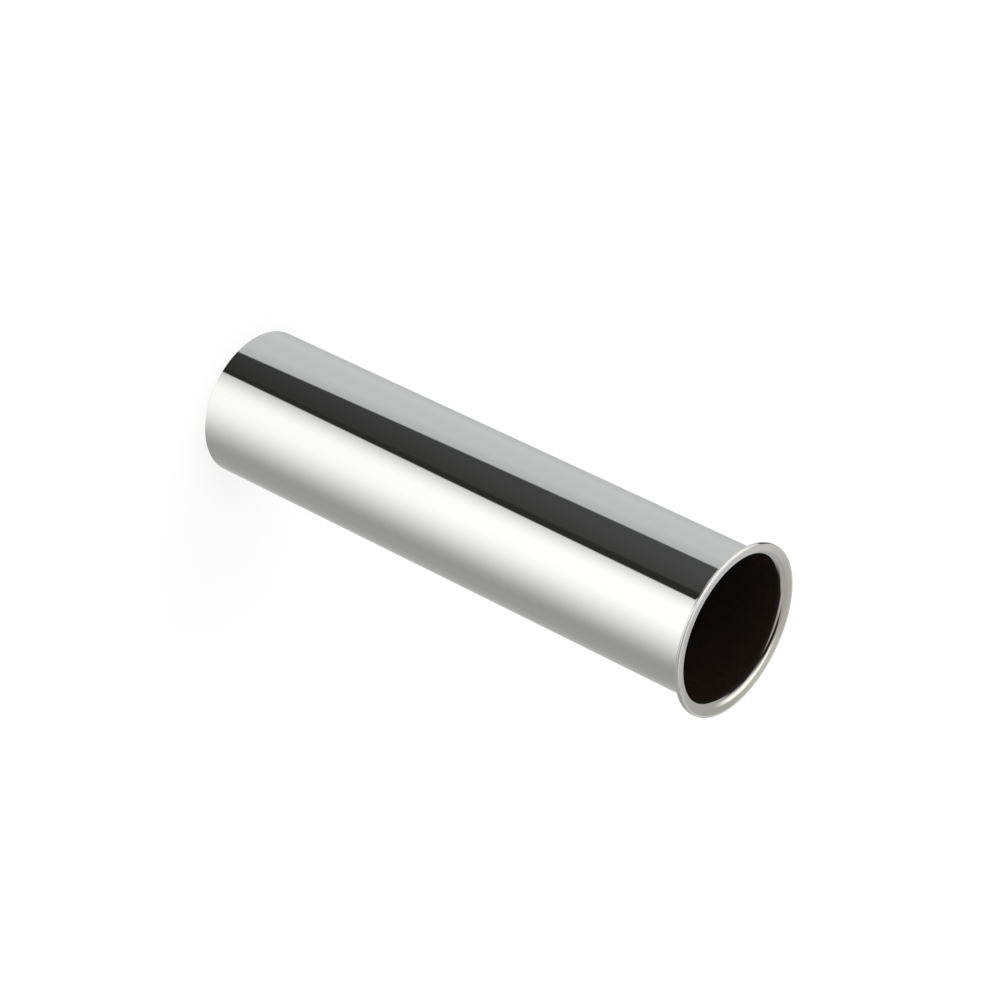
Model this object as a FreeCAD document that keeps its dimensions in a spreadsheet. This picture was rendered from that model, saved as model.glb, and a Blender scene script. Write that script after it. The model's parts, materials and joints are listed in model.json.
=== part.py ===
# Basin waste tail pipe: a straight thin-walled brass tube whose upper end is flared and folded back
# on itself into a flange of double thickness, with a slightly dished face. The flange's rim is round
# below, leans in a little as it rises, and has a crisp upper corner.
# The pipe stands on its cut end, +Z runs up its axis, and the origin is the centre of the cut end.
import FreeCAD, Part
import math
import os

import Sketcher

NODE = "tail_pipe"
SHEET = "sizes"

# Driving dimensions, lengths in millimetres and angles in degrees: name, value and what it measures.
SIZES = (
    ("tube_diameter", 32.0, "outside of the straight tail"),
    ("wall_thickness", 0.5, "wall of the straight tail"),
    ("overall_length", 128.0, "cut end to the top of the flange"),
    ("lip_reach", 2.5, "how far the flange stands out beyond the tail"),
    ("rim_radius", 0.5, "rounding of the rim from its underside to its outer band"),
    ("rim_band", 0.45, "length of the rim's straight outer band"),
    ("rim_lean", 7.0, "how far the outer band leans in as it rises"),
    ("crest_radius", 0.2, "crisp upper corner of the rim"),
    ("seat_land", 0.3, "flat ring on the crest of the flange, where a washer sits"),
    ("dish_angle", 12.0, "slope of the flange's face down towards the bore"),
    ("bell_radius", 1.8, "rounding from the flange's face into the bore"),
    ("neck_radius", 1.2, "rounding from the tail out to the flange's underside"),
    ("edge_break", 0.1, "bevel left on both edges of the cut end by deburring"),
)

# Points of a sketch element: its start, its end, and the centre of an arc.
START, END, CENTRE = 1, 2, 3
# The sketch's own horizontal axis, whose start point is the origin.
X_AXIS = -1

QUARTER = math.pi / 2
HALF = math.pi
UP = FreeCAD.Vector(0, 0, 1)


def make_sheet(doc):
    """Write the driving dimensions into the sheet, one row each, and name the value cells."""
    sheet = doc.addObject("Spreadsheet::Sheet", SHEET)
    for row, (name, value, meaning) in enumerate(SIZES, start=1):
        sheet.set(f"A{row}", name)
        sheet.set(f"B{row}", str(value))
        sheet.set(f"C{row}", meaning)
        sheet.setAlias(f"B{row}", name)
    doc.recompute()
    return sheet


def origin_plane(body, role):
    """Find one of the body's own origin planes."""
    return next(plane for plane in body.Origin.OriginFeatures if plane.Role == role)


def line(x_start, y_start, x_end, y_end):
    """A straight element of the section."""
    return Part.LineSegment(FreeCAD.Vector(x_start, y_start, 0), FreeCAD.Vector(x_end, y_end, 0))


def arc(x_centre, y_centre, radius, angle_start, angle_end):
    """A round element of the section, anticlockwise from one angle to the other."""
    circle = Part.Circle(FreeCAD.Vector(x_centre, y_centre, 0), UP, radius)
    return Part.ArcOfCircle(circle, angle_start, angle_end)


def draw_section(sketch, sheet):
    """Draw the half section of the pipe wall; x is the radius and y the height."""
    outside = sheet.tube_diameter / 2
    inside = outside - sheet.wall_thickness
    bevel = sheet.edge_break
    top = sheet.overall_length
    dish = math.radians(sheet.dish_angle)
    sine, cosine, slope = math.sin(dish), math.cos(dish), math.tan(dish)

    lean = math.radians(sheet.rim_lean)
    lean_x, lean_y = math.cos(lean), math.sin(lean)
    rim_x = outside + sheet.lip_reach - sheet.rim_radius
    low_x = rim_x + sheet.rim_radius * lean_x
    high_x = low_x - sheet.rim_band * lean_y
    crest_x = high_x - sheet.crest_radius * lean_x
    crest_y = top - sheet.crest_radius
    high_y = crest_y + sheet.crest_radius * lean_y
    low_y = high_y - sheet.rim_band * lean_x
    rim_y = low_y - sheet.rim_radius * lean_y
    land_x = crest_x - sheet.seat_land
    under_x = rim_x + sheet.rim_radius * sine
    under_y = rim_y - sheet.rim_radius * cosine

    bell_x = inside + sheet.bell_radius
    face_x = bell_x - sheet.bell_radius * sine
    face_y = top - (land_x - face_x) * slope
    bell_y = face_y - sheet.bell_radius * cosine

    neck_x = outside + sheet.neck_radius
    root_x = neck_x - sheet.neck_radius * sine
    root_y = under_y - (under_x - root_x) * slope
    neck_y = root_y - sheet.neck_radius * cosine

    return {
        "inner_bevel": sketch.addGeometry(line(inside, bevel, inside + bevel, 0)),
        "cut_end": sketch.addGeometry(line(inside + bevel, 0, outside - bevel, 0)),
        "outer_bevel": sketch.addGeometry(line(outside - bevel, 0, outside, bevel)),
        "tail_wall": sketch.addGeometry(line(outside, bevel, outside, neck_y)),
        "neck": sketch.addGeometry(arc(neck_x, neck_y, sheet.neck_radius, QUARTER + dish, HALF)),
        "lip_underside": sketch.addGeometry(line(root_x, root_y, under_x, under_y)),
        "rim": sketch.addGeometry(arc(rim_x, rim_y, sheet.rim_radius, dish - QUARTER, lean)),
        "band": sketch.addGeometry(line(low_x, low_y, high_x, high_y)),
        "crest": sketch.addGeometry(arc(crest_x, crest_y, sheet.crest_radius, lean, QUARTER)),
        "land": sketch.addGeometry(line(crest_x, top, land_x, top)),
        "lip_face": sketch.addGeometry(line(land_x, top, face_x, face_y)),
        "bell": sketch.addGeometry(arc(bell_x, bell_y, sheet.bell_radius, QUARTER + dish, HALF)),
        "bore_wall": sketch.addGeometry(line(inside, bell_y, inside, bevel)),
    }


def join_section(sketch, part):
    """Close the outline, level its straight faces and run every rounding smoothly into its neighbours."""
    corners = (
        ("inner_bevel", "cut_end"),
        ("cut_end", "outer_bevel"),
        ("outer_bevel", "tail_wall"),
        ("land", "lip_face"),
        ("bore_wall", "inner_bevel"),
    )
    for first, second in corners:
        sketch.addConstraint(Sketcher.Constraint("Coincident", part[first], END, part[second], START))

    roundings = (
        ("tail_wall", END, "neck", END),
        ("neck", START, "lip_underside", START),
        ("lip_underside", END, "rim", START),
        ("rim", END, "band", START),
        ("band", END, "crest", START),
        ("crest", END, "land", START),
        ("lip_face", END, "bell", START),
        ("bell", END, "bore_wall", START),
    )
    for first, first_end, second, second_end in roundings:
        sketch.addConstraint(Sketcher.Constraint("Tangent", part[first], first_end, part[second], second_end))

    for name in ("cut_end", "land"):
        sketch.addConstraint(Sketcher.Constraint("Horizontal", part[name]))
    for name in ("tail_wall", "bore_wall"):
        sketch.addConstraint(Sketcher.Constraint("Vertical", part[name]))
    sketch.addConstraint(Sketcher.Constraint("Parallel", part["lip_underside"], part["lip_face"]))
    sketch.addConstraint(Sketcher.Constraint("PointOnObject", part["cut_end"], START, X_AXIS))


def size_section(sketch, sheet, part):
    """Give the outline its sizes, each one bound to the sheet."""
    def bind(name, kind, points, formula, value):
        index = sketch.addConstraint(Sketcher.Constraint(kind, *points, value))
        sketch.renameConstraint(index, name)
        sketch.setExpression(f"Constraints.{name}", formula)

    tail, bore, land, rim = part["tail_wall"], part["bore_wall"], part["land"], part["rim"]
    inner, outer = part["inner_bevel"], part["outer_bevel"]
    bind("tail_radius", "DistanceX", (X_AXIS, START, tail, START),
         f"{SHEET}.tube_diameter / 2", sheet.tube_diameter / 2)
    bind("wall", "DistanceX", (bore, END, tail, START), f"{SHEET}.wall_thickness", sheet.wall_thickness)
    bind("length", "DistanceY", (X_AXIS, START, land, START), f"{SHEET}.overall_length", sheet.overall_length)
    bind("rim_centre", "DistanceX", (tail, START, rim, CENTRE),
         f"{SHEET}.lip_reach - {SHEET}.rim_radius", sheet.lip_reach - sheet.rim_radius)
    bind("rim_rounding", "Radius", (rim,), f"{SHEET}.rim_radius", sheet.rim_radius)
    bind("band_length", "Distance", (part["band"],), f"{SHEET}.rim_band", sheet.rim_band)
    bind("band_lean", "Angle", (part["band"],),
         f"(90 + {SHEET}.rim_lean) * 1 deg", QUARTER + math.radians(sheet.rim_lean))
    bind("crest_rounding", "Radius", (part["crest"],), f"{SHEET}.crest_radius", sheet.crest_radius)
    bind("land_width", "DistanceX", (land, END, land, START), f"{SHEET}.seat_land", sheet.seat_land)
    bind("lip_slope", "Angle", (part["lip_underside"],),
         f"{SHEET}.dish_angle * 1 deg", math.radians(sheet.dish_angle))
    bind("bell_rounding", "Radius", (part["bell"],), f"{SHEET}.bell_radius", sheet.bell_radius)
    bind("neck_rounding", "Radius", (part["neck"],), f"{SHEET}.neck_radius", sheet.neck_radius)

    bevels = (
        ("inner_bevel_width", "DistanceX", (inner, START, inner, END)),
        ("inner_bevel_height", "DistanceY", (inner, END, inner, START)),
        ("outer_bevel_width", "DistanceX", (outer, START, outer, END)),
        ("outer_bevel_height", "DistanceY", (outer, START, outer, END)),
    )
    for name, kind, points in bevels:
        bind(name, kind, points, f"{SHEET}.edge_break", sheet.edge_break)


def make_tail_pipe(doc, sheet):
    """Turn the wall's half section once round the axis."""
    body = doc.addObject("PartDesign::Body", NODE)
    body.Label = NODE

    sketch = body.newObject("Sketcher::SketchObject", "wall_section")
    sketch.AttachmentSupport = [(origin_plane(body, "XZ_Plane"), "")]
    sketch.MapMode = "FlatFace"
    part = draw_section(sketch, sheet)
    join_section(sketch, part)
    size_section(sketch, sheet, part)
    doc.recompute()
    if not sketch.FullyConstrained:
        raise RuntimeError("the wall section is not fully constrained")

    turned = body.newObject("PartDesign::Revolution", "turned_wall")
    turned.Profile = sketch
    turned.ReferenceAxis = (sketch, ["V_Axis"])
    turned.Angle = 360
    body.Tip = turned
    body.Placement = FreeCAD.Placement()
    doc.recompute()
    return body


def check_document(doc, pieces):
    """Stop if any object failed or any piece is not one valid closed solid."""
    for item in doc.Objects:
        if "Invalid" in item.State or "Error" in item.State:
            raise RuntimeError(f"{item.Name} failed: {item.State}")
    for piece in pieces:
        shape = piece.Shape
        if shape.isNull() or not shape.isValid() or len(shape.Solids) != 1:
            raise RuntimeError(f"{piece.Label} is not one valid solid")


def write_pieces(pieces):
    """Write each piece to a file with its own name, and print its volume and box."""
    os.makedirs("parts", exist_ok=True)
    for piece in pieces:
        piece.Shape.exportStep(f"parts/{piece.Label}.step")
        box = piece.Shape.optimalBoundingBox(False, False)
        print(f"{piece.Label}: {piece.Shape.Volume:.1f} mm3,"
              f" {box.XLength:.2f} x {box.YLength:.2f} x {box.ZLength:.2f} mm")


def main():
    """Build the document, check it and write its one piece."""
    doc = FreeCAD.newDocument("basin_waste_tail_pipe")
    sheet = make_sheet(doc)
    pieces = [make_tail_pipe(doc, sheet)]
    check_document(doc, pieces)
    write_pieces(pieces)


main()
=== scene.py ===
"""Basin waste tail pipe: the dressed pipe, its studio and the camera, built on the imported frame."""
import json
import logging
import math
from dataclasses import dataclass
from enum import Enum
from typing import Any, Dict, List, Sequence, Tuple, Union

import bpy
from mathutils import Matrix, Vector


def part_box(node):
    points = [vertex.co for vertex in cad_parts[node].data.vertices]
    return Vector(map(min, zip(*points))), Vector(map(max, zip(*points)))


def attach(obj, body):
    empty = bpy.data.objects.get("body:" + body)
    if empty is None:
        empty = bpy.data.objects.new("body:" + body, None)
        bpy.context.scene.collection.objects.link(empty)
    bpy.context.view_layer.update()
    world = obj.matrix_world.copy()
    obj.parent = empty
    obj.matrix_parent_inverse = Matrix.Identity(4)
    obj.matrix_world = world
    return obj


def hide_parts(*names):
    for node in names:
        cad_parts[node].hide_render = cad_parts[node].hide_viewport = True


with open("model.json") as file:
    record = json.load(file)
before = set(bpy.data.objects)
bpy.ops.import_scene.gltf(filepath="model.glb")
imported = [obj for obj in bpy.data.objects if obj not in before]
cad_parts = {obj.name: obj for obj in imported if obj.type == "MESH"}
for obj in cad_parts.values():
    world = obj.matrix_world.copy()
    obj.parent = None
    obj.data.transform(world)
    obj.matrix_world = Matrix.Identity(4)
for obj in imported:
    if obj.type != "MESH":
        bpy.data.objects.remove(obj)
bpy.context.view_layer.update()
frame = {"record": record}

LOG = logging.getLogger("tail_pipe_scene")

NODE = "tail_pipe"
BODY = "root"

MM = 0.001
FULL_TURN = 2 * math.pi
HALF_CIRCLE = 180.0
FULL_CIRCLE = 360.0

# A Mix node has a pair of inputs for each kind of value, and a result for each.
MIX_NUMBERS = slice(2, 4)
MIX_COLOURS = slice(6, 8)
MIX_COLOUR_RESULT = 2

Colour = Tuple[float, float, float]
Socket = bpy.types.NodeSocket
Number = Union[float, Socket]
Point = Tuple[float, float]


class Zone(Enum):
    """The zones of the pipe's surface that have a finish each, in the order of the material slots."""

    PLATED = 0
    BORE = 1


class Ray(Enum):
    """Kinds of ray that the studio answers differently, by the name of the Light Path output."""

    CAMERA = "Is Camera Ray"
    GLOSSY = "Is Glossy Ray"


class Graph:
    """A shader tree with short calls for the nodes that the finishes and the studio are made of."""

    def __init__(self, tree: bpy.types.ShaderNodeTree) -> None:
        """Start from an empty tree.

        Args:
            tree: the node tree of a material or of the world.
        """
        self.tree = tree
        self.tree.nodes.clear()

    def add(self, kind: str, **settings: Any) -> bpy.types.Node:
        """Make one node.

        Args:
            kind: the node's type name.
            settings: attributes to set on it.

        Returns:
            The new node.
        """
        node = self.tree.nodes.new(kind)
        for name, value in settings.items():
            setattr(node, name, value)
        return node

    def feed(self, target: Socket, value: Any) -> None:
        """Put a value on an input, or link it if it comes from another node.

        Args:
            target: the input socket.
            value: a socket, a number, or a colour of three numbers.
        """
        if isinstance(value, bpy.types.NodeSocket):
            self.tree.links.new(value, target)
        elif isinstance(value, tuple) and target.type == "RGBA":
            target.default_value = (*value, 1.0)
        else:
            target.default_value = value

    def math(self, operation: str, first: Number, second: Number = 0.0) -> Socket:
        """Work out one value from two others.

        Args:
            operation: the Math node's operation.
            first: the first operand.
            second: the second operand, where the operation takes one.

        Returns:
            The result.
        """
        node = self.add("ShaderNodeMath", operation=operation)
        self.feed(node.inputs[0], first)
        self.feed(node.inputs[1], second)
        return node.outputs[0]

    def rise(self, value: Socket, low: Number, high: Number) -> Socket:
        """Climb smoothly from 0 to 1 while a value goes from one bound to the other.

        Args:
            value: what is watched.
            low: where the climb starts.
            high: where it is complete.

        Returns:
            A share from 0 to 1.
        """
        node = self.add("ShaderNodeMapRange", interpolation_type="SMOOTHSTEP")
        self.feed(node.inputs["Value"], value)
        self.feed(node.inputs["From Min"], low)
        self.feed(node.inputs["From Max"], high)
        return node.outputs["Result"]

    def spread(self, value: Socket, low: float, high: float) -> Socket:
        """Stretch a value that runs from 0 to 1 over another range.

        Args:
            value: a share from 0 to 1.
            low: the result at 0.
            high: the result at 1.

        Returns:
            The stretched value.
        """
        node = self.add("ShaderNodeMapRange")
        self.feed(node.inputs["Value"], value)
        self.feed(node.inputs["To Min"], low)
        self.feed(node.inputs["To Max"], high)
        return node.outputs["Result"]

    def mix(self, share: Socket, low: Number, high: Number) -> Socket:
        """Blend two numbers.

        Args:
            share: 0 for all of the first, 1 for all of the second.
            low: the first number.
            high: the second number.

        Returns:
            The blend.
        """
        node = self.add("ShaderNodeMix", data_type="FLOAT")
        first, second = node.inputs[MIX_NUMBERS]
        self.feed(node.inputs["Factor"], share)
        self.feed(first, low)
        self.feed(second, high)
        return node.outputs[0]

    def tint(self, share: Socket, low: Union[Colour, Socket], high: Union[Colour, Socket]) -> Socket:
        """Blend two colours.

        Args:
            share: 0 for all of the first, 1 for all of the second.
            low: the first colour.
            high: the second colour.

        Returns:
            The blend.
        """
        node = self.add("ShaderNodeMix", data_type="RGBA")
        first, second = node.inputs[MIX_COLOURS]
        self.feed(node.inputs["Factor"], share)
        self.feed(first, low)
        self.feed(second, high)
        return node.outputs[MIX_COLOUR_RESULT]

    def noise(self, where: Socket, scale: float, detail: float = 2.0) -> Socket:
        """Soft random variation.

        Args:
            where: the coordinates.
            scale: features per unit of the coordinates.
            detail: how many finer layers are added.

        Returns:
            A value around 0.5.
        """
        node = self.add("ShaderNodeTexNoise")
        self.feed(node.inputs["Vector"], where)
        node.inputs["Scale"].default_value = scale
        node.inputs["Detail"].default_value = detail
        return node.outputs["Fac"]

    def stretched(self, where: Socket, scales: Tuple[float, float, float]) -> Socket:
        """Scale coordinates by a different amount along each axis.

        Args:
            where: the coordinates.
            scales: the factor along x, y and z.

        Returns:
            The scaled coordinates.
        """
        node = self.add("ShaderNodeVectorMath", operation="MULTIPLY")
        self.feed(node.inputs[0], where)
        node.inputs[1].default_value = scales
        return node.outputs[0]

    def by_ray(self, ray: Ray, otherwise: Socket, then: Socket) -> Socket:
        """Choose between two shaders by the kind of ray that asks.

        Args:
            ray: the kind of ray.
            otherwise: the shader for all other rays.
            then: the shader for that kind of ray.

        Returns:
            The combined shader.
        """
        path = self.add("ShaderNodeLightPath")
        node = self.add("ShaderNodeMixShader")
        self.feed(node.inputs[0], path.outputs[ray.value])
        self.feed(node.inputs[1], otherwise)
        self.feed(node.inputs[2], then)
        return node.outputs[0]


def new_material(name: str) -> Tuple[bpy.types.Material, Graph]:
    """Make an empty material.

    Args:
        name: the material's name.

    Returns:
        The material and its tree.
    """
    material = bpy.data.materials.new(name)
    material.use_nodes = True
    return material, Graph(material.node_tree)


@dataclass(frozen=True)
class BrightChrome:
    """Bright chrome plate over polished brass: a mirror with faint buffing lines and a few dust specks."""

    colour: Colour = (0.64, 0.645, 0.64)
    smoothest: float = 0.02
    roughest: float = 0.05
    haze_scale: float = 90.0
    haze_detail: float = 3.0
    wave_scale: float = 110.0
    wave_detail: float = 0.0
    wave_height: float = 0.0025 * MM
    buffing_scale: float = 9000.0
    buffing_detail: float = 1.0
    buffing_stretch: float = 0.02
    buffing_height: float = 0.00004 * MM
    speck_scale: float = 380.0
    speck_size: float = 0.05
    speck_share: float = 0.04
    speck_roughness: float = 0.12

    def specks(self, graph: Graph, where: Socket) -> Socket:
        """Pick out a few tiny specks of dust.

        Args:
            graph: the material's tree.
            where: coordinates on the pipe.

        Returns:
            1 on a speck and 0 elsewhere.
        """
        cells = graph.add("ShaderNodeTexVoronoi")
        graph.feed(cells.inputs["Vector"], where)
        cells.inputs["Scale"].default_value = self.speck_scale
        chance = graph.add("ShaderNodeSeparateColor")
        graph.feed(chance.inputs[0], cells.outputs["Color"])
        chosen = graph.math("LESS_THAN", chance.outputs[0], self.speck_share)
        close = graph.math("LESS_THAN", cells.outputs["Distance"], self.speck_size)
        return graph.math("MULTIPLY", chosen, close)

    def material(self) -> bpy.types.Material:
        """Make the plate's material.

        Returns:
            The material.
        """
        material, graph = new_material("bright_chrome")
        where = graph.add("ShaderNodeTexCoord").outputs["Object"]

        haze = graph.noise(where, self.haze_scale, self.haze_detail)
        haze = graph.spread(haze, self.smoothest, self.roughest)
        roughness = graph.mix(self.specks(graph, where), haze, self.speck_roughness)

        wave = graph.add("ShaderNodeBump")
        wave.inputs["Distance"].default_value = self.wave_height
        graph.feed(wave.inputs["Height"], graph.noise(where, self.wave_scale, self.wave_detail))
        rings = graph.stretched(where, (self.buffing_stretch, self.buffing_stretch, 1.0))
        buffing = graph.add("ShaderNodeBump")
        buffing.inputs["Distance"].default_value = self.buffing_height
        graph.feed(buffing.inputs["Height"], graph.noise(rings, self.buffing_scale, self.buffing_detail))
        graph.feed(buffing.inputs["Normal"], wave.outputs["Normal"])

        shader = graph.add("ShaderNodeBsdfPrincipled")
        graph.feed(shader.inputs["Base Color"], self.colour)
        shader.inputs["Metallic"].default_value = 1.0
        graph.feed(shader.inputs["Roughness"], roughness)
        graph.feed(shader.inputs["Normal"], buffing.outputs["Normal"])
        output = graph.add("ShaderNodeOutputMaterial")
        graph.feed(output.inputs["Surface"], shader.outputs[0])
        return material


@dataclass(frozen=True)
class TarnishedBoreWithPaintedShade:
    """The tube's bare inside: dark brown tarnish, near black as painted shade, with fine draw lines and
    blotched stains.
    """

    # Near-black colours: dark brown tarnish, darkened further as painted shade of the deep bore.
    pale_tarnish_and_shade: Colour = (0.026, 0.018, 0.013)
    deep_tarnish_and_shade: Colour = (0.012, 0.0085, 0.0065)
    smoothest: float = 0.16
    roughest: float = 0.34
    stain_scale: float = 160.0
    stain_detail: float = 4.0
    streak_scale: float = 700.0
    streak_detail: float = 3.0
    streak_stretch: float = 0.03
    streak_height: float = 0.002 * MM

    def material(self) -> bpy.types.Material:
        """Make the bore's material.

        Returns:
            The material.
        """
        material, graph = new_material("tarnished_bore_with_painted_shade")
        where = graph.add("ShaderNodeTexCoord").outputs["Object"]
        stain = graph.noise(where, self.stain_scale, self.stain_detail)
        lines = graph.stretched(where, (1.0, 1.0, self.streak_stretch))
        streaks = graph.noise(lines, self.streak_scale, self.streak_detail)
        blotches = graph.math("DIVIDE", graph.math("ADD", stain, streaks), 2.0)
        # Stains blend the two colours; their near-black level is painted shade of the hollow.
        tarnish_and_shade = graph.tint(blotches, self.deep_tarnish_and_shade, self.pale_tarnish_and_shade)
        draw_lines = graph.add("ShaderNodeBump")
        draw_lines.inputs["Distance"].default_value = self.streak_height
        graph.feed(draw_lines.inputs["Height"], streaks)

        shader = graph.add("ShaderNodeBsdfPrincipled")
        graph.feed(shader.inputs["Base Color"], tarnish_and_shade)
        graph.feed(shader.inputs["Roughness"], graph.spread(stain, self.smoothest, self.roughest))
        graph.feed(shader.inputs["Normal"], draw_lines.outputs["Normal"])
        output = graph.add("ShaderNodeOutputMaterial")
        graph.feed(output.inputs["Surface"], shader.outputs[0])
        return material


@dataclass(frozen=True)
class PaleFloor:
    """Pale studio paper that reads as white to the camera and keeps a soft shadow."""

    colour: Colour = (0.32, 0.32, 0.32)
    glow: float = 0.74

    def material(self) -> bpy.types.Material:
        """Make the floor's material.

        Returns:
            The material.
        """
        material, graph = new_material("pale_floor")
        paper = graph.add("ShaderNodeBsdfDiffuse")
        graph.feed(paper.inputs["Color"], self.colour)
        light = graph.add("ShaderNodeEmission")
        light.inputs["Strength"].default_value = self.glow
        both = graph.add("ShaderNodeAddShader")
        graph.feed(both.inputs[0], paper.outputs[0])
        graph.feed(both.inputs[1], light.outputs[0])
        output = graph.add("ShaderNodeOutputMaterial")
        surface = graph.by_ray(Ray.CAMERA, paper.outputs[0], both.outputs[0])
        graph.feed(output.inputs["Surface"], surface)
        return material


@dataclass(frozen=True)
class Station:
    """A point of the pipe's half section, with the direction that its surface faces."""

    radius: float
    height: float
    face_out: float
    face_up: float


@dataclass(frozen=True)
class Stretch:
    """A smooth run of the half section with one finish; a corner lies between it and the next one."""

    zone: Zone
    stations: Sequence[Station]


def straight(zone: Zone, start: Point, end: Point, pieces: int) -> Stretch:
    """A straight run of the half section, with the metal on its left.

    Args:
        zone: its finish.
        start: radius and height where it starts.
        end: radius and height where it ends.
        pieces: how many equal parts it has.

    Returns:
        The run.
    """
    run = Vector((end[0] - start[0], end[1] - start[1])).normalized()
    stations = []
    for index in range(pieces + 1):
        share = index / pieces
        radius = start[0] + (end[0] - start[0]) * share
        height = start[1] + (end[1] - start[1]) * share
        stations.append(Station(radius, height, run.y, -run.x))
    return Stretch(zone, stations)


def rounded(zone: Zone, centre: Point, radius: float, start: float, end: float, pieces: int) -> Stretch:
    """A round run of the half section, with the metal on its left.

    Args:
        zone: its finish.
        centre: radius and height of the arc's centre.
        radius: the arc's own radius.
        start: the angle where it starts.
        end: the angle where it ends; below the start, the arc is hollow.
        pieces: how many equal parts it has.

    Returns:
        The run.
    """
    facing = 1.0 if end > start else -1.0
    stations = []
    for index in range(pieces + 1):
        angle = start + (end - start) * index / pieces
        out, up = math.cos(angle), math.sin(angle)
        place = (centre[0] + radius * out, centre[1] + radius * up)
        stations.append(Station(*place, facing * out, facing * up))
    return Stretch(zone, stations)


@dataclass
class TailPipe:
    """The pipe itself: a straight thin-walled tail with a flared, folded and slightly dished flange on top.

    The rim's upper corner is crisper than the solid's, and the band below it is very slightly crowned.
    """

    tail_radius: float
    bore_radius: float
    flange_radius: float
    bottom: float
    top: float
    rim_radius: float = 0.5 * MM
    rim_band: float = 0.556 * MM
    rim_lean: float = math.radians(7.0)
    band_crown: float = 4.0 * MM
    crest_radius: float = 0.08 * MM
    seat_land: float = 0.406 * MM
    dish_angle: float = math.radians(12.0)
    bell_radius: float = 1.8 * MM
    plate_angle: float = math.radians(28.0)
    neck_radius: float = 1.2 * MM
    edge_break: float = 0.1 * MM
    segments: int = 288
    wall_rings: int = 32
    round_rings: int = 14
    bevel_rings: int = 1
    end_rings: int = 2
    underside_rings: int = 3
    land_rings: int = 2
    face_rings: int = 4

    @classmethod
    def from_frame(cls, record: Dict[str, Any]) -> "TailPipe":
        """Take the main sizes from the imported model.

        Args:
            record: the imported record.

        Returns:
            The pipe, not yet built.
        """
        mounts = {mount["name"]: mount for mount in record["mounts"]}
        lowest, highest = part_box(NODE)
        return cls(
            tail_radius=mounts["tail"]["dims"]["r_mm"] * MM,
            bore_radius=mounts["waterway"]["dims"]["r_mm"] * MM,
            flange_radius=min(-lowest.x, -lowest.y, highest.x, highest.y),
            bottom=lowest.z,
            top=highest.z,
        )

    def section(self) -> List[Stretch]:
        """Draw the closed half section, from the bore's lower edge up the outside and back down the bore.

        Returns:
            Its runs in order.
        """
        sine, cosine = math.sin(self.dish_angle), math.cos(self.dish_angle)
        slope = math.tan(self.dish_angle)
        quarter, half = math.pi / 2, math.pi
        dished = quarter + self.dish_angle

        lean_out, lean_up = math.cos(self.rim_lean), math.sin(self.rim_lean)
        crest_height = self.top - self.crest_radius
        band_high = crest_height + self.crest_radius * lean_up
        band_low = band_high - self.rim_band * lean_out
        rim = (self.flange_radius - self.rim_radius, band_low - self.rim_radius * lean_up)
        band_high_out = rim[0] + self.rim_radius * lean_out - self.rim_band * lean_up
        crest = (band_high_out - self.crest_radius * lean_out, crest_height)
        crown, low_turn, high_turn = self.crowned(rim, crest)
        land_inside = (crest[0] - self.seat_land, self.top)
        underside_out = (rim[0] + self.rim_radius * sine, rim[1] - self.rim_radius * cosine)

        face_in_radius = self.bore_radius + self.bell_radius * (1 - sine)
        face_in = (face_in_radius, self.top - (land_inside[0] - face_in_radius) * slope)
        bell = (self.bore_radius + self.bell_radius, face_in[1] - self.bell_radius * cosine)

        underside_in_radius = self.tail_radius + self.neck_radius * (1 - sine)
        underside_drop = (underside_out[0] - underside_in_radius) * slope
        underside_in = (underside_in_radius, underside_out[1] - underside_drop)
        neck = (self.tail_radius + self.neck_radius, underside_in[1] - self.neck_radius * cosine)

        bevel_top = self.bottom + self.edge_break
        bevel_inside = (self.bore_radius + self.edge_break, self.bottom)
        bevel_outside = (self.tail_radius - self.edge_break, self.bottom)
        plate_end = half - self.plate_angle
        plated, bore = Zone.PLATED, Zone.BORE
        return [
            straight(plated, (self.bore_radius, bevel_top), bevel_inside, self.bevel_rings),
            straight(plated, bevel_inside, bevel_outside, self.end_rings),
            straight(plated, bevel_outside, (self.tail_radius, bevel_top), self.bevel_rings),
            straight(plated, (self.tail_radius, bevel_top), (self.tail_radius, neck[1]), self.wall_rings),
            rounded(plated, neck, self.neck_radius, half, dished, self.round_rings),
            straight(plated, underside_in, underside_out, self.underside_rings),
            rounded(plated, rim, self.rim_radius, self.dish_angle - quarter, low_turn, self.round_rings),
            rounded(plated, crown, self.band_crown, low_turn, high_turn, self.round_rings),
            rounded(plated, crest, self.crest_radius, high_turn, quarter, self.round_rings),
            straight(plated, (crest[0], self.top), land_inside, self.land_rings),
            straight(plated, land_inside, face_in, self.face_rings),
            rounded(plated, bell, self.bell_radius, dished, plate_end, self.round_rings),
            # From the plating's end on the bell, the inside takes the tarnish with painted shade.
            rounded(bore, bell, self.bell_radius, plate_end, half, self.round_rings),
            straight(bore, (self.bore_radius, bell[1]), (self.bore_radius, bevel_top), self.wall_rings),
        ]

    def crowned(self, rim: Point, crest: Point) -> Tuple[Point, float, float]:
        """Give the rim's outer band a very slight crown that runs smoothly into both of its roundings.

        Args:
            rim: radius and height of the lower rounding's centre.
            crest: radius and height of the upper rounding's centre.

        Returns:
            The centre of the crown's arc, and the angles where it starts and ends.
        """
        to_rim, to_crest = self.band_crown - self.rim_radius, self.band_crown - self.crest_radius
        line = Vector(crest) - Vector(rim)
        along = (to_rim ** 2 - to_crest ** 2 + line.length_squared) / (2 * line.length)
        aside = math.sqrt(to_rim ** 2 - along ** 2)
        step = line.normalized()
        centre = Vector(rim) + step * along - Vector((step.y, -step.x)) * aside
        low, high = Vector(rim) - centre, Vector(crest) - centre
        return (centre.x, centre.y), math.atan2(low.y, low.x), math.atan2(high.y, high.x)

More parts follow.
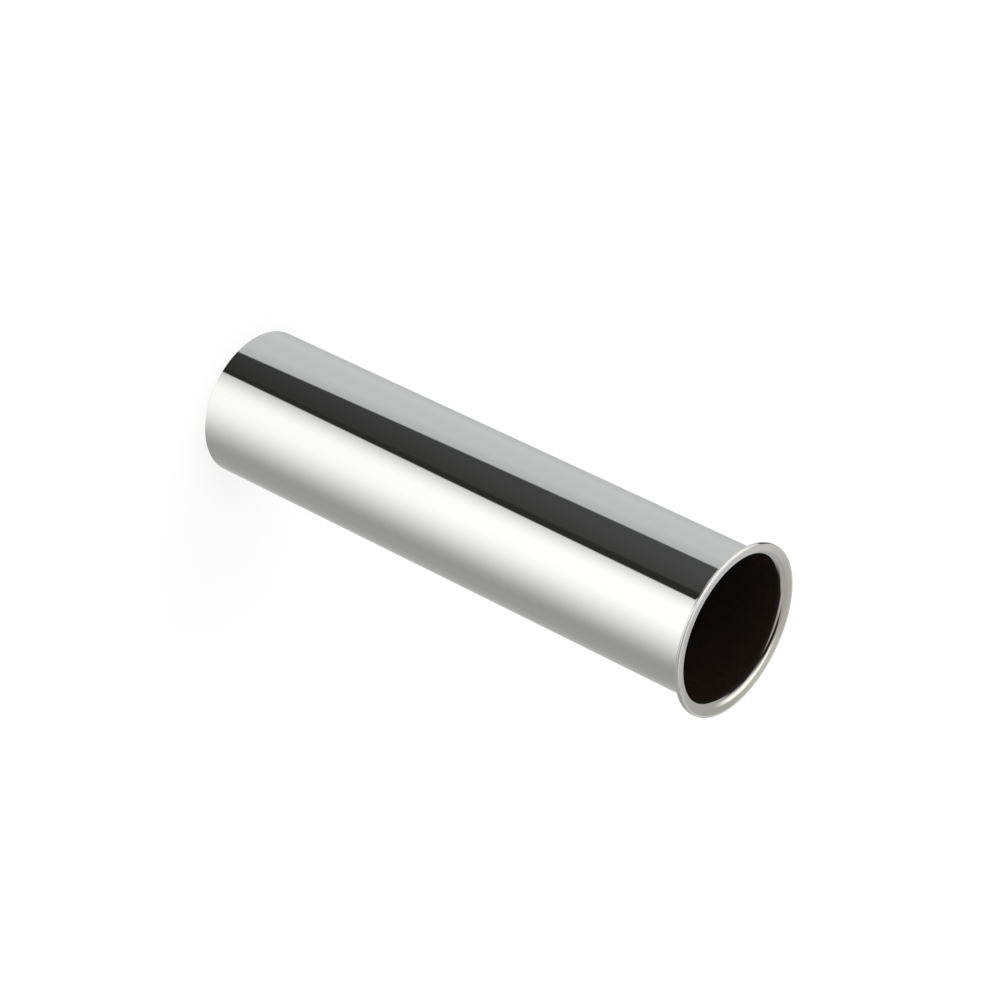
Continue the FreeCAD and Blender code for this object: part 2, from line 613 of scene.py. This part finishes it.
    def build(self) -> bpy.types.Object:
        """Turn the half section once round the axis into one closed mesh.

        Returns:
            The pipe's object.
        """
        turns = [FULL_TURN * index / self.segments for index in range(self.segments)]
        spokes = [(math.cos(turn), math.sin(turn)) for turn in turns]
        runs = self.section()
        rings = [station for run in runs for station in run.stations[:-1]]
        points = [(ring.radius * x, ring.radius * y, ring.height) for ring in rings for x, y in spokes]

        faces: List[Tuple[int, ...]] = []
        zones: List[int] = []
        facings: List[Tuple[float, float, float]] = []
        ring = 0
        for run in runs:
            for near, far in zip(run.stations, run.stations[1:]):
                following = (ring + 1) % len(rings)
                for index in range(self.segments):
                    beside = (index + 1) % self.segments
                    corners = ((ring, index, near), (ring, beside, near), (following, beside, far),
                               (following, index, far))
                    faces.append(tuple(row * self.segments + column for row, column, _ in corners))
                    for _, column, station in corners:
                        x, y = spokes[column]
                        facings.append((station.face_out * x, station.face_out * y, station.face_up))
                    zones.append(run.zone.value)
                ring += 1

        mesh = bpy.data.meshes.new("tail_pipe_wall")
        mesh.from_pydata(points, [], faces)
        mesh.polygons.foreach_set("material_index", zones)
        mesh.polygons.foreach_set("use_smooth", [True] * len(faces))
        mesh.normals_split_custom_set(facings)
        piece = bpy.data.objects.new("tail_pipe_plated", mesh)
        bpy.context.scene.collection.objects.link(piece)
        return piece

    def dress(self, piece: bpy.types.Object, chrome: BrightChrome, bore: TarnishedBoreWithPaintedShade) -> None:
        """Give the pipe its finishes and set it on the frame.

        Args:
            piece: the built pipe.
            chrome: the finish of the outside and the flange.
            bore: the finish of the inside, dark tarnish with painted shade.
        """
        materials = {Zone.PLATED: chrome.material(), Zone.BORE: bore.material()}
        for zone in Zone:
            piece.data.materials.append(materials[zone])
        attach(piece, BODY)
        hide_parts(NODE)


@dataclass(frozen=True)
class Panel:
    """A soft-edged area of the studio, placed by the direction that it is seen in, in degrees.

    Its soft edges lie half inside and half outside its outline, and its level is its brightness.
    """

    azimuth: float
    elevation: float
    half_width: float
    half_height: float
    soft_sides: float
    soft_ends: float
    level: float


@dataclass(frozen=True)
class OvalLamp:
    """An oval soft-edged lamp of the studio, placed like a panel; its softness is a share of its size."""

    azimuth: float
    elevation: float
    half_width: float
    half_height: float
    tilt: float
    softness: float
    level: float


@dataclass(frozen=True)
class DarkCard:
    """A dark card low in front of the pipe, with two edges that lean and a right one that is bowed.

    An edge is an azimuth at the card's middle. Its lean goes with the height above that in degrees, and its
    bow with the square of it. A strip along the left edge is darkest, the rest grows paler to the right and
    upwards, and the card shades the wall on its right.
    """

    left_edge: float = 16.8
    left_lean: float = -0.5
    left_bow: float = 0.0
    right_edge: float = 67.9
    right_lean: float = 1.65
    right_bow: float = -0.12
    middle: float = -32.5
    lowest: float = -40.0
    highest: float = -25.0
    top: float = -25.5
    softness: float = 2.2
    strip_ends: Tuple[float, float] = (24.0, 28.5)
    strip_level: float = 0.034
    pales: Tuple[float, float] = (26.0, 60.0)
    left_level: float = 0.061
    right_level: float = 0.076
    lift: float = 0.07
    shade_width: float = 22.0
    shade_depth: float = 0.135


@dataclass(frozen=True)
class Studio:
    """What surrounds the pipe: white for the camera, and for the metal to mirror a room under a dome.

    The room has walls, a window, sheets, cards and lamps, with left and right as seen from the pipe. Azimuth
    0 is the camera's side and rises to the right, towards -X, and elevation is above the horizon, both in
    degrees. A pair of angles is where a soft change starts and ends.
    """

    fill: float = 0.75
    left_wall: float = 0.47
    right_wall: float = 0.80
    back_wall: float = 0.58
    window_level: float = 1.54
    window_lift: float = 0.009
    window_left: Tuple[float, float] = (-104.0, -22.0)
    window_right: Tuple[float, float] = (-10.0, 38.0)
    walls_meet: Tuple[float, float] = (30.0, 60.0)
    back_starts: Tuple[float, float] = (124.0, 172.0)
    wall_top: Tuple[float, float] = (-1.5, 1.5)
    dome: float = 0.555
    card: DarkCard = DarkCard()
    shelf: Panel = Panel(-20.0, -18.6, 90.0, 7.4, 24.0, 1.0, 0.56)
    grey_sheet: Panel = Panel(5.0, -7.0, 108.0, 7.0, 24.0, 6.0, 1.1)
    white_sheet: Panel = Panel(52.5, -9.0, 64.4, 9.2, 96.0, 3.2, 1.22)
    side_sheet: Panel = Panel(61.0, -20.0, 54.0, 5.8, 57.0, 1.0, 1.42)
    back_card: Panel = Panel(150.0, -14.5, 19.0, 10.0, 2.4, 5.0, 0.06)
    softbox: OvalLamp = OvalLamp(127.0, 60.2, 57.7, 24.3, 0.25, 0.485, 1.6)
    back_glow: OvalLamp = OvalLamp(-176.3, 27.0, 9.3, 23.2, -0.08, 0.63, 0.77)
    dark_room: Panel = Panel(-24.0, 7.6, 100.3, 11.0, 55.0, 15.0, 0.01)
    dark_curtain: Panel = Panel(4.8, 18.6, 92.6, 10.9, 26.0, 14.9, 0.01)
    dark_side: Panel = Panel(30.0, 36.7, 66.8, 16.3, 66.0, 27.0, 0.01)
    dark_ceiling: Panel = Panel(-17.8, 63.3, 62.5, 19.7, 52.0, 11.5, 0.01)
    strip_lamp: Panel = Panel(-45.6, 44.7, 46.6, 6.7, 49.0, 11.0, 0.67)
    left_colour: Colour = (0.995, 1.0, 0.965)
    right_colour: Colour = (0.98, 1.0, 0.991)
    window_colour: Colour = (1.0, 1.0, 0.965)
    sheet_colour: Colour = (1.0, 0.965, 0.94)
    dome_warms: Tuple[float, float] = (22.0, 50.0)
    low_dome_colour: Colour = (1.0, 0.98, 0.955)
    high_dome_colour: Colour = (1.0, 0.93, 0.83)
    softbox_colour: Colour = (1.0, 0.985, 0.89)

    def build(self) -> None:
        """Make the world."""
        world = bpy.data.worlds.new("studio")
        world.use_nodes = True
        bpy.context.scene.world = world
        graph = Graph(world.node_tree)

        mirrored = self.mirrored(graph)
        fill = self.plain(graph, self.fill)
        white = self.plain(graph, 1.0)
        surface = graph.by_ray(Ray.CAMERA, graph.by_ray(Ray.GLOSSY, fill, mirrored), white)
        output = graph.add("ShaderNodeOutputWorld")
        graph.feed(output.inputs["Surface"], surface)

    def plain(self, graph: Graph, level: float) -> Socket:
        """An even white surround.

        Args:
            graph: the world's tree.
            level: its brightness.

        Returns:
            The shader.
        """
        node = graph.add("ShaderNodeBackground")
        graph.feed(node.inputs["Color"], (1.0, 1.0, 1.0))
        node.inputs["Strength"].default_value = level
        return node.outputs[0]

    def mirrored(self, graph: Graph) -> Socket:
        """Walls, window, card, dome, panels and lamps as the polished metal mirrors them.

        Args:
            graph: the world's tree.

        Returns:
            The shader.
        """
        place = graph.add("ShaderNodeSeparateXYZ")
        graph.feed(place.inputs[0], graph.add("ShaderNodeTexCoord").outputs["Generated"])
        left = graph.math("MULTIPLY", place.outputs["X"], -1.0)
        front = graph.math("MULTIPLY", place.outputs["Y"], -1.0)
        azimuth = graph.math("DEGREES", graph.math("ARCTAN2", left, front))
        elevation = graph.math("DEGREES", graph.math("ARCSINE", place.outputs["Z"]))
        aside = graph.math("ABSOLUTE", azimuth)

        window = graph.math(
            "MULTIPLY",
            graph.rise(azimuth, *self.window_left),
            graph.math("SUBTRACT", 1.0, graph.rise(azimuth, *self.window_right)))
        right = graph.rise(azimuth, *self.walls_meet)
        walls = graph.mix(right, self.left_wall, self.right_wall)
        walls = graph.mix(graph.rise(aside, *self.back_starts), walls, self.back_wall)
        lift = graph.math("MULTIPLY", self.low_height(graph, elevation), self.window_lift)
        window_level = graph.math("MULTIPLY", graph.math("ADD", lift, 1.0), self.window_level)
        walls = graph.mix(window, walls, window_level)
        walls = self.carded(graph, azimuth, elevation, walls)
        low_colour = graph.tint(right, self.left_colour, self.right_colour)
        low_colour = graph.tint(window, low_colour, self.window_colour)
        low_panels = (self.shelf, self.grey_sheet, self.white_sheet, self.side_sheet, self.back_card)
        for panel in low_panels:
            covered = self.covered(graph, panel, azimuth, elevation)
            walls = graph.mix(covered, walls, panel.level)
            low_colour = graph.tint(covered, low_colour, self.sheet_colour)

        glow = self.lit(graph, self.back_glow, azimuth, elevation)
        dome = graph.mix(glow, self.dome, self.back_glow.level)
        lit = self.lit(graph, self.softbox, azimuth, elevation)
        dome = graph.mix(lit, dome, self.softbox.level)
        warm = graph.rise(elevation, *self.dome_warms)
        high_colour = graph.tint(warm, self.low_dome_colour, self.high_dome_colour)
        high_colour = graph.tint(lit, high_colour, self.softbox_colour)
        high_panels = (self.dark_room, self.dark_curtain, self.dark_side, self.dark_ceiling, self.strip_lamp)
        for panel in high_panels:
            dome = graph.mix(self.covered(graph, panel, azimuth, elevation), dome, panel.level)

        above = graph.rise(elevation, *self.wall_top)
        node = graph.add("ShaderNodeBackground")
        graph.feed(node.inputs["Color"], graph.tint(above, low_colour, high_colour))
        graph.feed(node.inputs["Strength"], graph.mix(above, walls, dome))
        return node.outputs[0]

    def low_height(self, graph: Graph, elevation: Socket) -> Socket:
        """Find how far above the card's middle a direction lies, held to the card's height.

        Args:
            graph: the world's tree.
            elevation: the direction's elevation.

        Returns:
            The height in degrees.
        """
        held = graph.math("MAXIMUM", elevation, self.card.lowest)
        held = graph.math("MINIMUM", held, self.card.highest)
        return graph.math("SUBTRACT", held, self.card.middle)

    def carded(self, graph: Graph, azimuth: Socket, elevation: Socket, walls: Socket) -> Socket:
        """Stand the dark card in front of the walls.

        Args:
            graph: the world's tree.
            azimuth: the direction's azimuth.
            elevation: the direction's elevation.
            walls: the brightness behind the card.

        Returns:
            The brightness with the card.
        """
        card = self.card
        height = self.low_height(graph, elevation)
        shares = []
        offsets = []
        for edge, lean, bow in ((card.left_edge, card.left_lean, card.left_bow),
                                (card.right_edge, card.right_lean, card.right_bow)):
            slope = graph.math("ADD", graph.math("MULTIPLY", height, bow), lean)
            line = graph.math("ADD", graph.math("MULTIPLY", height, slope), edge)
            offsets.append(graph.math("SUBTRACT", azimuth, line))
            shares.append(graph.rise(offsets[-1], -card.softness / 2, card.softness / 2))
        past_left, past_right = shares
        below_top = graph.math("SUBTRACT", 1.0, graph.rise(elevation, card.top - card.softness, card.top))

        close = graph.math("SUBTRACT", 1.0, graph.rise(offsets[1], 0.0, card.shade_width))
        shaded = graph.math("MULTIPLY", graph.math("MULTIPLY", past_right, close), below_top)
        shade = graph.math("SUBTRACT", 1.0, graph.math("MULTIPLY", shaded, card.shade_depth))
        walls = graph.math("MULTIPLY", walls, shade)

        rest = graph.mix(graph.rise(azimuth, *card.pales), card.left_level, card.right_level)
        lift = graph.math("MULTIPLY", height, card.lift)
        rest = graph.math("MULTIPLY", rest, graph.math("ADD", lift, 1.0))
        level = graph.mix(graph.rise(azimuth, *card.strip_ends), card.strip_level, rest)
        covered = graph.math("MULTIPLY", past_left, graph.math("SUBTRACT", 1.0, past_right))
        return graph.mix(graph.math("MULTIPLY", covered, below_top), walls, level)

    def turned(self, graph: Graph, azimuth: Socket, middle: float) -> Socket:
        """Find how far round a direction lies from a given azimuth.

        Args:
            graph: the world's tree.
            azimuth: the direction's azimuth.
            middle: the azimuth that it is measured from.

        Returns:
            The turn from -180 to 180 degrees.
        """
        turn = graph.math("ADD", azimuth, HALF_CIRCLE - middle)
        turn = graph.math("FLOORED_MODULO", turn, FULL_CIRCLE)
        return graph.math("SUBTRACT", turn, HALF_CIRCLE)

    def covered(self, graph: Graph, panel: Panel, azimuth: Socket, elevation: Socket) -> Socket:
        """Find where a panel covers what is behind it.

        Args:
            graph: the world's tree.
            panel: the panel.
            azimuth: the direction's azimuth.
            elevation: the direction's elevation.

        Returns:
            1 on the panel and 0 beside it.
        """
        aside = graph.math("ABSOLUTE", self.turned(graph, azimuth, panel.azimuth))
        above = graph.math("ABSOLUTE", graph.math("SUBTRACT", elevation, panel.elevation))
        shares = []
        for off, half, soft in ((aside, panel.half_width, panel.soft_sides),
                                (above, panel.half_height, panel.soft_ends)):
            shares.append(graph.math("SUBTRACT", 1.0, graph.rise(off, half - soft / 2, half + soft / 2)))
        return graph.math("MULTIPLY", *shares)

    def lit(self, graph: Graph, lamp: OvalLamp, azimuth: Socket, elevation: Socket) -> Socket:
        """Find where an oval lamp is seen.

        Args:
            graph: the world's tree.
            lamp: the lamp.
            azimuth: the direction's azimuth.
            elevation: the direction's elevation.

        Returns:
            1 on the lamp and 0 beside it.
        """
        aside = self.turned(graph, azimuth, lamp.azimuth)
        middle = graph.math("ADD", graph.math("MULTIPLY", aside, lamp.tilt), lamp.elevation)
        above = graph.math("SUBTRACT", elevation, middle)
        squares = []
        for off, half in ((aside, lamp.half_width), (above, lamp.half_height)):
            share = graph.math("DIVIDE", off, half)
            squares.append(graph.math("MULTIPLY", share, share))
        off = graph.math("SQRT", graph.math("ADD", *squares))
        return graph.math("SUBTRACT", 1.0, graph.rise(off, 1.0 - lamp.softness, 1.0 + lamp.softness))


@dataclass
class Floor:
    """A wide pale floor under the pipe, with the soft lamp that gives the pipe's shadow."""

    half_size: float = 3.0
    lamp_place: Tuple[float, float, float] = (-0.55, -0.25, 1.1)
    lamp_size: float = 0.9
    lamp_power: float = 4.0

    def build(self, height: float, finish: PaleFloor) -> List[bpy.types.Object]:
        """Make the floor and its lamp; polished metal mirrors the studio instead of them.

        Args:
            height: where the floor lies.
            finish: its finish.

        Returns:
            The floor and the lamp.
        """
        size = self.half_size
        mesh = bpy.data.meshes.new("floor")
        mesh.from_pydata([(-size, -size, height), (size, -size, height), (size, size, height),
                          (-size, size, height)], [], [(0, 1, 2, 3)])
        mesh.materials.append(finish.material())
        floor = bpy.data.objects.new("floor", mesh)
        light = bpy.data.lights.new("soft_lamp", "AREA")
        light.shape = "DISK"
        light.size = self.lamp_size
        light.energy = self.lamp_power
        lamp = bpy.data.objects.new("soft_lamp", light)
        lamp.location = self.lamp_place
        lamp.rotation_mode = "QUATERNION"
        lamp.rotation_quaternion = Vector(self.lamp_place).to_track_quat("Z", "Y")
        for item in (floor, lamp):
            bpy.context.scene.collection.objects.link(item)
            item.visible_glossy = False
        return [floor, lamp]


@dataclass
class PhotoCamera:
    """The camera at the photograph's angle: above the pipe, and rolled so that the pipe lies across."""

    lens: float = 131.97
    sensor: float = 36.0
    elevation: float = math.radians(31.933)
    roll: float = math.radians(115.432)
    aim: Tuple[float, float, float] = (-3.3095 * MM, 0.7694 * MM, 65.4189 * MM)
    distance: float = 748.926 * MM

    def build(self) -> bpy.types.Object:
        """Make the camera and give it to the scene.

        Returns:
            The camera.
        """
        back = Vector((0.0, -math.cos(self.elevation), math.sin(self.elevation)))
        level = Vector((1.0, 0.0, 0.0))
        upright = back.cross(level)
        right = level * math.cos(self.roll) + upright * math.sin(self.roll)
        up = upright * math.cos(self.roll) - level * math.sin(self.roll)

        data = bpy.data.cameras.new("photo_camera")
        data.lens = self.lens
        data.sensor_width = self.sensor
        camera = bpy.data.objects.new("photo_camera", data)
        turn = Matrix((right, up, back)).transposed().to_4x4()
        camera.matrix_world = Matrix.Translation(Vector(self.aim) + back * self.distance) @ turn
        bpy.context.scene.collection.objects.link(camera)
        bpy.context.scene.camera = camera
        return camera


def main() -> None:
    """Build the pipe, the studio, the floor and the camera."""
    logging.basicConfig(level=logging.INFO, format="%(message)s")
    bpy.context.scene.view_settings.view_transform = "Standard"

    pipe = TailPipe.from_frame(frame["record"])
    piece = pipe.build()
    pipe.dress(piece, BrightChrome(), TarnishedBoreWithPaintedShade())
    LOG.info("%s: %d faces on %s", piece.name, len(piece.data.polygons), BODY)

    Studio().build()
    for item in Floor().build(pipe.bottom, PaleFloor()):
        LOG.info("%s: studio", item.name)
    camera = PhotoCamera().build()
    LOG.info("%s: %.1f mm lens", camera.name, camera.data.lens)


if __name__ == "__main__":
    main()
